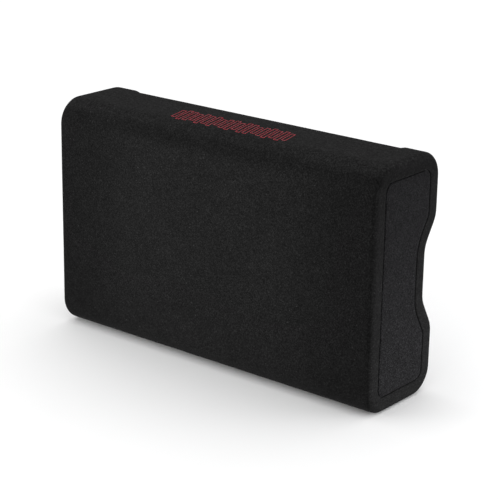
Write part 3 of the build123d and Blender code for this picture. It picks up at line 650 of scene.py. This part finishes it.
class Shader:
    """A material's node tree, with short calls for what these materials share."""

    def __init__(self, name):
        self.material = bpy.data.materials.new(name)
        self.material.use_nodes = True
        self.nodes = self.material.node_tree.nodes
        self.link = self.material.node_tree.links.new
        self.surface = self.nodes["Principled BSDF"]
        self.place = self.nodes.new("ShaderNodeTexCoord").outputs["Object"]

    def set(self, **values):
        for key, value in values.items():
            self.surface.inputs[key.replace("_", " ")].default_value = value
        return self

    def noise(self, size, detail=3.0, stretch=(1, 1, 1), rough=0.55):
        """Noise whose features are about `size` metres across."""
        texture = self.nodes.new("ShaderNodeTexNoise")
        texture.inputs["Scale"].default_value = 1.0
        texture.inputs["Detail"].default_value = detail
        texture.inputs["Roughness"].default_value = rough
        mapping = self.nodes.new("ShaderNodeMapping")
        mapping.inputs["Scale"].default_value = [factor / size for factor in stretch]
        mapping.inputs["Rotation"].default_value = NOISE_TILT
        self.link(self.place, mapping.inputs["Vector"])
        self.link(mapping.outputs["Vector"], texture.inputs["Vector"])
        return texture.outputs["Fac"]

    def shaded(self, body, *shades):
        """The body colour multiplied by each shade."""
        for shade in shades:
            body = self.mix("MULTIPLY", 1.0, body, shade)
        return body

    def wave(self, size, axis, distortion=0.0):
        """Bands `size` metres apart: the texture has 20 bands in 2 pi units at a scale of 1."""
        texture = self.nodes.new("ShaderNodeTexWave")
        texture.bands_direction = axis
        texture.inputs["Scale"].default_value = 1.0 / (size * 20)
        texture.inputs["Distortion"].default_value = distortion
        scaled = self.nodes.new("ShaderNodeVectorMath")
        scaled.operation = "SCALE"
        scaled.inputs["Scale"].default_value = 2 * math.pi
        self.link(self.place, scaled.inputs[0])
        self.link(scaled.outputs["Vector"], texture.inputs["Vector"])
        return texture.outputs["Fac"]

    def ramp(self, source, stops):
        """Maps a 0..1 value through (position, grey or colour) stops."""
        ramp = self.nodes.new("ShaderNodeValToRGB")
        elements = ramp.color_ramp.elements
        while len(elements) < len(stops):
            elements.new(0.5)
        for element, (position, colour) in zip(elements, stops):
            element.position = position
            element.color = (*colour, 1) if isinstance(colour, tuple) else (colour, colour, colour, 1)
        self.link(source, ramp.inputs["Fac"])
        return ramp.outputs["Color"]

    def mix(self, kind, factor, a, b):
        node = self.nodes.new("ShaderNodeMix")
        node.data_type = "RGBA"
        node.blend_type = kind
        node.inputs[0].default_value = factor
        for socket, value in ((node.inputs[6], a), (node.inputs[7], b)):
            if isinstance(value, tuple):
                socket.default_value = (*value, 1)
            else:
                self.link(value, socket)
        return node.outputs[2]

    def blend(self, factor, a, b):
        """From a to b as the linked factor goes from 0 to 1."""
        result = self.mix("MIX", 0.5, a, b)
        self.link(factor, result.node.inputs[0])
        return result

    def fade(self, source, low, high, out_low=0.0, out_high=1.0):
        node = self.nodes.new("ShaderNodeMapRange")
        node.interpolation_type = "SMOOTHSTEP"
        for key, value in zip(("From Min", "From Max", "To Min", "To Max"), (low, high, out_low, out_high)):
            node.inputs[key].default_value = value
        self.link(source, node.inputs["Value"])
        return node.outputs["Result"]

    def axis(self, name):
        split = self.nodes.new("ShaderNodeSeparateXYZ")
        self.link(self.place, split.inputs["Vector"])
        return split.outputs[name]

    def distance(self, name):
        """The distance from the middle of the box along one axis."""
        return self.math("ABSOLUTE", self.axis(name), 0)

    def math(self, operation, a, b):
        node = self.nodes.new("ShaderNodeMath")
        node.operation = operation
        for socket, value in zip(node.inputs, (a, b)):
            if isinstance(value, (int, float)):
                socket.default_value = value
            else:
                self.link(value, socket)
        return node.outputs[0]

    def colour(self, source):
        self.link(source, self.surface.inputs["Base Color"])
        return self

    def roughness(self, source, low, high):
        self.link(self.fade(source, 0.3, 0.7, low, high), self.surface.inputs["Roughness"])
        return self

    def bump(self, *layers):
        """Relief from (height source, depth in metres) layers."""
        last = None
        for source, depth in layers:
            node = self.nodes.new("ShaderNodeBump")
            node.inputs["Strength"].default_value = 1.0
            node.inputs["Distance"].default_value = depth
            self.link(source, node.inputs["Height"])
            if last is not None:
                self.link(last, node.inputs["Normal"])
            last = node.outputs["Normal"]
        self.link(last, self.surface.inputs["Normal"])
        return self


def tint(colour, factor):
    return tuple(min(1.0, c * factor) for c in colour)


def carpet_material(name, base, contrast):
    """Needle-punched felt: short matted fibres, with painted shade round the folds, towards the tops of the
    ends and in patches on the top.
    """
    s = Shader(name)
    fibres = s.noise(1.5 * MM, 2.0, rough=0.6)
    clumps = s.noise(2.6 * MM, 2.0)
    clouds = s.noise(15 * MM, 3.0)
    drifts = s.noise(70 * MM, 2.0)
    flecks = s.noise(1.5 * MM, 0.0)
    dark, light = tint(base, 1 - 0.8 * contrast), tint(base, 1 + 1.6 * contrast)
    body = s.ramp(fibres, [(0.34, dark), (0.5, base), (0.66, light)])
    for pattern, lowest in ((clumps, 0.66), (clouds, 0.86), (drifts, 0.92)):
        body = s.shaded(body, s.ramp(pattern, [(0.34, lowest), (0.66, 1.0)]))
    body = s.mix("ADD", 1.0, body, s.ramp(flecks, [(0.84, 0.0), (0.9, 0.03)]))
    # Painted shade on the felt: round the folds, in patches on the top and towards the tops of the ends.
    s.colour(s.shaded(body, painted_fold_shade(s), painted_top_fibre_shade(s), painted_end_shade(s)))
    s.set(Roughness=0.95, Specular_IOR_Level=0.0, Sheen_Weight=0.035, Sheen_Roughness=0.5)
    s.set(Sheen_Tint=(0.64, 0.63, 0.64, 1))
    return s.bump((clumps, 0.35 * MM), (fibres, 0.12 * MM)).material


END_FACE = (HALF_WIDTH - 2.5 * MM, HALF_WIDTH - 0.6 * MM)  # where the roll turns into the end


def painted_fold_shade(s):
    """Painted shade: darker felt round the long folds and on the back towards the end edges, standing in
    for how the light falls there.
    """
    height, depth, across = s.axis("Z"), s.distance("Y"), s.distance("X")
    fold = HEIGHT - CORNER_RADIUS
    rise = s.fade(height, fold + 0.05 * CORNER_RADIUS, fold + 0.45 * CORNER_RADIUS)
    fall = s.fade(height, fold + 0.6 * CORNER_RADIUS, fold + 0.8 * CORNER_RADIUS, 1.0, 0.0)
    near_end = s.fade(across, 0.35 * HALF_WIDTH, HALF_WIDTH - END_EDGE_RADIUS)
    before_end = s.fade(across, *END_FACE, 1.0, 0.0)
    faces_out = s.fade(depth, BACK - 12 * MM, BACK - 6 * MM)
    upper = s.math("MULTIPLY", s.math("MULTIPLY", rise, fall), 0.7)
    sides = s.math("MULTIPLY", s.math("MULTIPLY", near_end, before_end), faces_out)
    return s.ramp(s.math("MAXIMUM", upper, sides), [(0.0, 1.0), (1.0, 0.67)])


def painted_top_fibre_shade(s):
    """Painted shade: light and dark patches on the top stand in for the shading of its fibres seen at a low
    angle.
    """
    fibre_shade_patches = s.ramp(s.noise(3.5 * MM, 2.0), [(0.34, 0.66), (0.66, 1.34)])
    top = s.fade(s.axis("Z"), HEIGHT - 12 * MM, HEIGHT - 2 * MM)
    return s.blend(top, (1, 1, 1), fibre_shade_patches)


def painted_end_shade(s):
    """Painted shade: the ends are darker towards the top, standing in for the light that reaches their
    lower part more.
    """
    ends = s.fade(s.distance("X"), *END_FACE)
    rising = s.fade(s.axis("Z"), 0.0, HEIGHT)
    return s.ramp(s.math("MULTIPLY", ends, rising), [(0.0, 1.0), (1.0, 0.65)])


def thread_material():
    s = Shader("crimson_thread")
    base = (0.3, 0.01, 0.024)
    strands = s.noise(0.35 * MM, 2.0)
    s.colour(s.ramp(strands, [(0.3, tint(base, 0.6)), (0.7, tint(base, 1.35))]))
    s.set(Sheen_Weight=0.25, Sheen_Roughness=0.3, Specular_IOR_Level=0.45)
    return s.roughness(strands, 0.35, 0.55).bump((strands, 0.08 * MM)).material


def board_material():
    """Fibreboard: raw inside the box, rolled with black paint on the baffle's front face; the black near
    the board's ends is painted shade, so the floor of each end seam reads dark.
    """
    s = Shader("fibreboard")
    base = (0.36, 0.245, 0.145)
    fine = s.noise(0.8 * MM, 4.0)
    broad = s.noise(30 * MM, 2.0)
    body = s.ramp(fine, [(0.3, tint(base, 0.72)), (0.7, tint(base, 1.22))])
    body = s.mix("MULTIPLY", 0.5, body, s.ramp(broad, [(0.3, 0.8), (0.7, 1.0)]))
    front = s.fade(s.axis("Y"), BAFFLE_FACE + 6 * MM, BAFFLE_FACE + 7 * MM, 1.0, 0.0)
    # Painted shade: black near the board's ends darkens the floor of the seams between the felts.
    board_end = HALF_WIDTH - CARPET
    ends = s.fade(s.distance("X"), board_end - 5 * MM, board_end - 4 * MM)
    paint = s.ramp(fine, [(0.3, 0.006), (0.7, 0.011)])
    body = s.blend(s.math("MAXIMUM", front, ends), body, paint)
    return s.colour(body).roughness(fine, 0.72, 0.9).bump((fine, 0.08 * MM)).material


def coat_material(name, base, grain, rough, metal=0.0, depth=0.05 * MM, clear=0.0, shine=0.35):
    """Paint, moulded plastic or rubber: colour drift, a fine grain and uneven gloss."""
    s = Shader(name)
    fine = s.noise(grain, 3.0)
    broad = s.noise(22 * MM, 2.0)
    body = s.ramp(fine, [(0.3, tint(base, 0.8)), (0.7, tint(base, 1.2))])
    s.colour(s.mix("MULTIPLY", 0.4, body, s.ramp(broad, [(0.3, 0.8), (0.7, 1.0)])))
    s.set(Metallic=metal, Coat_Weight=clear, Coat_Roughness=0.15, Specular_IOR_Level=shine)
    return s.roughness(broad, rough * 0.85, rough * 1.12).bump((fine, depth)).material


def metal_material(name, base, rough, stretch=(1, 1, 1), grain=0.6 * MM):
    """Bare or plated metal with drawn grain and dull patches."""
    s = Shader(name)
    lines = s.noise(grain, 3.0, stretch)
    stains = s.noise(9 * MM, 3.0)
    body = s.ramp(lines, [(0.3, tint(base, 0.82)), (0.7, tint(base, 1.1))])
    s.colour(s.mix("MULTIPLY", 0.5, body, s.ramp(stains, [(0.3, 0.75), (0.65, 1.0)])))
    s.set(Metallic=1.0)
    return s.roughness(stains, rough * 0.75, rough * 1.3).bump((lines, 0.02 * MM)).material


def woven_material(name, base, thread):
    """Woven cloth: two crossed thread waves."""
    s = Shader(name)
    warp, weft = s.wave(thread, "X"), s.wave(thread, "Z")
    weave = s.math("MAXIMUM", warp, weft)
    stain = s.noise(6 * MM, 3.0)
    body = s.ramp(weave, [(0.1, tint(base, 0.45)), (0.9, tint(base, 1.1))])
    s.colour(s.mix("MULTIPLY", 0.5, body, s.ramp(stain, [(0.3, 0.7), (0.7, 1.0)])))
    s.set(Roughness=0.85, Sheen_Weight=0.1)
    return s.bump((weave, 0.15 * MM)).material


def pulp_material():
    """Pressed paper pulp with short fibres under a thin coat."""
    s = Shader("cone_pulp")
    base = (0.017, 0.017, 0.018)
    fibres = s.noise(1.4 * MM, 5.0, (1, 1, 2.2), rough=0.7)
    broad = s.noise(14 * MM, 2.0)
    body = s.ramp(fibres, [(0.3, tint(base, 0.6)), (0.55, base), (0.78, tint(base, 2.6))])
    s.colour(s.mix("MULTIPLY", 0.4, body, s.ramp(broad, [(0.3, 0.75), (0.7, 1.0)])))
    s.set(Specular_IOR_Level=0.14)
    return s.roughness(fibres, 0.5, 0.72).bump((fibres, 0.12 * MM)).material


def laminate_material():
    """Solder-masked circuit board with copper tracks under the mask."""
    s = Shader("board_laminate")
    base = (0.012, 0.11, 0.04)
    tracks = s.math("GREATER_THAN", s.wave(3.4 * MM, "Z", 1.5), 0.62)
    body = s.mix("MIX", 0.5, base, s.ramp(tracks, [(0.4, base), (0.6, (0.03, 0.2, 0.07))]))
    s.colour(body).set(Coat_Weight=0.4, Coat_Roughness=0.2)
    return s.roughness(s.noise(8 * MM), 0.3, 0.42).bump((tracks, 0.03 * MM)).material


def winding_material():
    """Enamelled copper wire, wound in fine turns along the woofer's axis."""
    s = Shader("copper_wire")
    base = (0.62, 0.2, 0.07)
    turns = s.wave(0.5 * MM, "Y")
    s.colour(s.ramp(turns, [(0.1, tint(base, 0.35)), (0.9, tint(base, 1.1))]))
    s.set(Metallic=1.0)
    return s.roughness(s.noise(4 * MM), 0.2, 0.34).bump((turns, 0.1 * MM)).material


def jack_material():
    """Phono sockets: nickel shells round a red and a white insulator."""
    s = Shader("phono_finish")
    split = s.math("GREATER_THAN", s.axis("X"), middle("phono_jacks").x)
    insulator = s.ramp(split, [(0.4, (0.75, 0.74, 0.72)), (0.6, (0.5, 0.02, 0.02))])
    drift = s.ramp(s.noise(5 * MM), [(0.3, 0.82), (0.7, 1.0)])
    s.colour(s.mix("MULTIPLY", 1.0, insulator, drift))
    return s.roughness(s.noise(3 * MM), 0.3, 0.45).bump((s.noise(0.8 * MM), 0.02 * MM)).material


def choke_material():
    """Varnished copper turns over a dark toroid core."""
    s = Shader("choke_wire")
    base = (0.55, 0.17, 0.05)
    s.colour(s.ramp(s.noise(2.5 * MM), [(0.3, tint(base, 0.6)), (0.7, base)])).set(Metallic=0.9)
    return s.roughness(s.noise(4 * MM), 0.22, 0.38).bump((s.noise(0.6 * MM), 0.02 * MM)).material


def knob_material(node):
    """Satin moulding, with white paint in the groove that points to the setting."""
    s = Shader(node + "_finish")
    centre, front = middle(node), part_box(node)[0].y
    body = s.ramp(s.noise(0.6 * MM), [(0.3, 0.012), (0.7, 0.02)])
    aside = s.math("ABSOLUTE", s.math("SUBTRACT", s.axis("X"), centre.x), 0)
    in_groove = s.fade(aside, 0.56 * MM, 0.62 * MM, 1.0, 0.0)
    above = s.fade(s.axis("Z"), centre.z + 1.6 * MM, centre.z + 1.75 * MM)
    deep = s.fade(s.axis("Y"), front + 0.25 * MM, front + 0.4 * MM)
    shallow = s.fade(s.axis("Y"), front + 0.8 * MM, front + 0.9 * MM, 1.0, 0.0)
    paint = in_groove
    for limit in (above, deep, shallow):
        paint = s.math("MULTIPLY", paint, limit)
    s.colour(s.blend(paint, body, s.ramp(s.noise(0.5 * MM), [(0.3, 0.68), (0.7, 0.8)])))
    return s.roughness(s.noise(7 * MM), 0.3, 0.42).bump((s.noise(0.6 * MM), 0.03 * MM)).material


def cad_materials():
    """The material of every carried-over CAD node: a list of nodes for each material."""
    coat, metal = coat_material, metal_material
    black_coat = coat("powder_coat", (0.012, 0.012, 0.013), 0.7 * MM, 0.45, depth=0.12 * MM)
    wire_coat = coat("dipped_coat", (0.005, 0.005, 0.0055), 0.9 * MM, 0.24, depth=0.02 * MM, shine=0.5)
    cap_coat = coat("cap_lacquer", (0.007, 0.007, 0.0075), 1.1 * MM, 0.3, depth=0.03 * MM, clear=0.25)
    plate_coat = coat("plate_coat", (0.011, 0.011, 0.012), 0.5 * MM, 0.42, metal=0.1, depth=0.09 * MM)
    rubber = coat("butyl_rubber", (0.01, 0.01, 0.01), 1.2 * MM, 0.5, shine=0.25)
    foam = coat("cell_foam", (0.03, 0.03, 0.03), 0.5 * MM, 0.9, depth=0.3 * MM)
    ferrite = coat("sintered_ferrite", (0.035, 0.035, 0.038), 0.8 * MM, 0.6, depth=0.1 * MM)
    nylon = coat("black_nylon", (0.015, 0.015, 0.015), 0.9 * MM, 0.5)
    lever = coat("satin_lever", (0.02, 0.02, 0.021), 0.6 * MM, 0.38, depth=0.03 * MM, clear=0.1)
    natural = coat("natural_nylon", (0.68, 0.66, 0.6), 1.1 * MM, 0.45, depth=0.03 * MM)
    fuse = coat("tinted_fuse", (0.02, 0.11, 0.5), 2.0 * MM, 0.12, depth=0.01 * MM, clear=0.6)
    lens = coat("lens_red", (0.35, 0.01, 0.012), 1.0 * MM, 0.1, depth=0.01 * MM, clear=0.7)
    parts = coat("component_case", (0.02, 0.02, 0.024), 0.8 * MM, 0.36, depth=0.03 * MM)
    jacket = coat("lead_jacket", (0.2, 0.012, 0.014), 1.5 * MM, 0.4, depth=0.02 * MM)
    film = coat("amber_film", (0.45, 0.26, 0.06), 2.0 * MM, 0.25, depth=0.01 * MM, clear=0.4)
    return {
        board_material(): [
            "back_panel", "top_panel", "bottom_panel", "rear_upper_corner", "rear_lower_corner",
            "front_baffle", "upper_front_rail", "lower_front_rail", "centre_brace", "right_end_frame",
            "left_end_frame", "right_end_panel", "left_end_panel",
        ],
        black_coat: ["woofer_basket"],
        wire_coat: ["wire_guard", "guard_clamps"],
        cap_coat: ["dust_cap"],
        plate_coat: ["amp_face_plate"],
        rubber: ["magnet_boot", "lead_grommet", "surround_trim_ring"],
        foam: ["mounting_gasket"],
        ferrite: ["ring_magnet"],
        nylon: ["potentiometers", "slide_switch_bodies", "remote_socket", "power_strip", "fuse_holder"],
        lever: ["phase_slider", "auto_on_slider"],
        natural: ["speaker_input_socket"],
        fuse: ["blade_fuse"],
        lens: ["status_light"],
        parts: ["capacitors", "power_transistors"],
        jacket: ["speaker_leads"],
        film: ["voice_coil_former"],
        metal("black_oxide", (0.05, 0.05, 0.052), 0.34): ["woofer_screws", "plate_screws"],
        metal("zinc_plate", (0.62, 0.6, 0.52), 0.3): ["top_plate", "pole_yoke"],
        metal("nickel_plate", (0.6, 0.57, 0.5), 0.24): ["strip_screws"],
        metal("tinned_brass", (0.78, 0.62, 0.32), 0.28): ["speaker_terminals"],
        metal("galvanised_cover", (0.5, 0.5, 0.5), 0.35, (1, 1, 6), 1.5 * MM): ["amp_rear_cover"],
        knob_material("gain_knob"): ["gain_knob"],
        knob_material("crossover_knob"): ["crossover_knob"],
        knob_material("bass_boost_knob"): ["bass_boost_knob"],
        winding_material(): ["voice_coil_winding"],
        laminate_material(): ["circuit_board"],
        jack_material(): ["phono_jacks"],
        choke_material(): ["choke"],
    }


SOFT_EDGES = {
    "amp_face_plate": 0.3 * MM,
    "power_strip": 0.25 * MM,
    "fuse_holder": 0.2 * MM,
    "blade_fuse": 0.3 * MM,
    "phase_slider": 0.15 * MM,
    "auto_on_slider": 0.15 * MM,
    "speaker_input_socket": 0.25 * MM,
    "remote_socket": 0.2 * MM,
    "guard_clamps": 0.25 * MM,
}


def dress_cad_nodes():
    """Gives every carried-over CAD node its material, and the moulded ones soft edges."""
    for material, nodes in cad_materials().items():
        for node in nodes:
            paint(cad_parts[node], material)
    for node, width in SOFT_EDGES.items():
        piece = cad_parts[node]
        weld = piece.modifiers.new("weld", "WELD")
        weld.merge_threshold = 0.005 * MM
        soft = piece.modifiers.new("soft edges", "BEVEL")
        soft.width = width
        soft.segments = 2
        soft.limit_method = "ANGLE"
        soft.angle_limit = math.radians(40)
        soft.harden_normals = False


def paint(piece, material):
    piece.data.materials.clear()
    piece.data.materials.append(material)


def finish_new(piece, material, body=None):
    """A new piece's material, its slot and, if one is given, the body it rides on."""
    paint(piece, material)
    if body is not None:
        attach(piece, body)


# ---------------------------------------------------------------- camera, floor and light

VIEW_TURN, VIEW_DROP, VIEW_ROLL = math.radians(38.693), math.radians(18.436), math.radians(0.965)
VIEW_DISTANCE = 4.2918 * WIDTH
VIEW_PAN = (-0.0269 * WIDTH, 0.0232 * WIDTH)
LENS = 122.96


def make_camera():
    """Looks at the middle of the box from behind, off to one side and a little above."""
    ahead = Vector((math.sin(VIEW_TURN), -math.cos(VIEW_TURN), 0))
    level = Vector((-math.cos(VIEW_TURN), -math.sin(VIEW_TURN), 0))
    forward = ahead * math.cos(VIEW_DROP) - Vector(UP) * math.sin(VIEW_DROP)
    upright = level.cross(forward)
    right = level * math.cos(VIEW_ROLL) + upright * math.sin(VIEW_ROLL)
    up = upright * math.cos(VIEW_ROLL) - level * math.sin(VIEW_ROLL)
    camera = bpy.data.objects.new("camera", bpy.data.cameras.new("camera"))
    bpy.context.scene.collection.objects.link(camera)
    centre = Vector((0, 0, HEIGHT / 2))
    place = centre - forward * VIEW_DISTANCE - right * VIEW_PAN[0] - up * VIEW_PAN[1]
    turn = Matrix((right, up, -forward)).transposed()
    camera.matrix_world = Matrix.Translation(place) @ turn.to_4x4()
    camera.data.lens = LENS
    camera.data.sensor_width = 36
    camera.data.clip_end = 50
    bpy.context.scene.camera = camera


def area_light(name, place, target, size, power, colour=(1, 1, 1)):
    data = bpy.data.lights.new(name, "AREA")
    data.shape = "RECTANGLE"
    data.size, data.size_y = size
    data.energy = power
    data.color = colour
    lamp = bpy.data.objects.new(name, data)
    bpy.context.scene.collection.objects.link(lamp)
    lamp.location = place
    lamp.visible_camera = False
    lamp.visible_glossy = False  # or the front's paint would mirror it as glare from the side
    lamp.rotation_euler = (Vector(target) - Vector(place)).to_track_quat("-Z", "Y").to_euler()


def make_stage():
    """A plain pale floor, white surroundings and two soft lights low beside the object."""
    reach = 14.0
    corners = [(sx * reach, sy * reach, 0) for sx, sy in SQUARE]
    floor = new_piece("floor", corners, [(0, 1, 2, 3)], smooth=False)
    floor.location.z = -0.2 * MM
    s = Shader("studio_floor")
    s.colour(s.ramp(s.noise(0.6), [(0.3, 0.9), (0.7, 0.93)])).set(Roughness=0.9, Specular_IOR_Level=0.1)
    floor.data.materials.append(s.material)
    world = bpy.data.worlds.new("studio")
    world.use_nodes = True
    background = world.node_tree.nodes["Background"]
    background.inputs["Color"].default_value = (1, 1, 1, 1)
    background.inputs["Strength"].default_value = 1.15
    bpy.context.scene.world = world
    area_light("left_softbox", (1.0, 1.1, 0.12), (0.22, 0.06, 0.12), (0.6, 0.6), 14.5)
    area_light("end_softbox", (-0.75, -0.35, 0.06), (-0.25, 0, 0.05), (0.3, 0.12), 3.1, (0.97, 0.97, 1.0))
    bpy.context.scene.view_settings.view_transform = "Standard"


# ---------------------------------------------------------------- the whole scene

make_camera()
make_stage()
wrap_felt = carpet_material("wrap_felt", (0.0141, 0.0141, 0.0141), 0.48)
# The end felt's base is a touch lighter and bluer than the wrap felt's: painted light, standing in for the
# light on the ends.
end_felt = carpet_material("end_felt", (0.0152, 0.0151, 0.0158), 0.72)
finish_new(carpet_wrap(), wrap_felt, CABINET)
finish_new(end_carpet("right_end_felt", "right_end_carpet", 1), end_felt, CABINET)
finish_new(end_carpet("left_end_felt", "left_end_carpet", -1), end_felt, CABINET)
finish_new(emblem(), thread_material(), CABINET)
roll_rubber = coat_material("surround_rubber", (0.007, 0.007, 0.007), 1.4 * MM, 0.4, shine=0.4)
finish_new(surround(), roll_rubber)
finish_new(spider(), woven_material("spider_weave", (0.42, 0.3, 0.14), 0.9 * MM))
finish_new(cone(), pulp_material())
finish_new(tinsel_leads(), metal_material("tinsel_braid", (0.6, 0.52, 0.42), 0.4))
white_ink = coat_material("white_ink", (0.7, 0.7, 0.7), 0.5 * MM, 0.6)
finish_new(panel_marks(), white_ink, CABINET)
dress_cad_nodes()
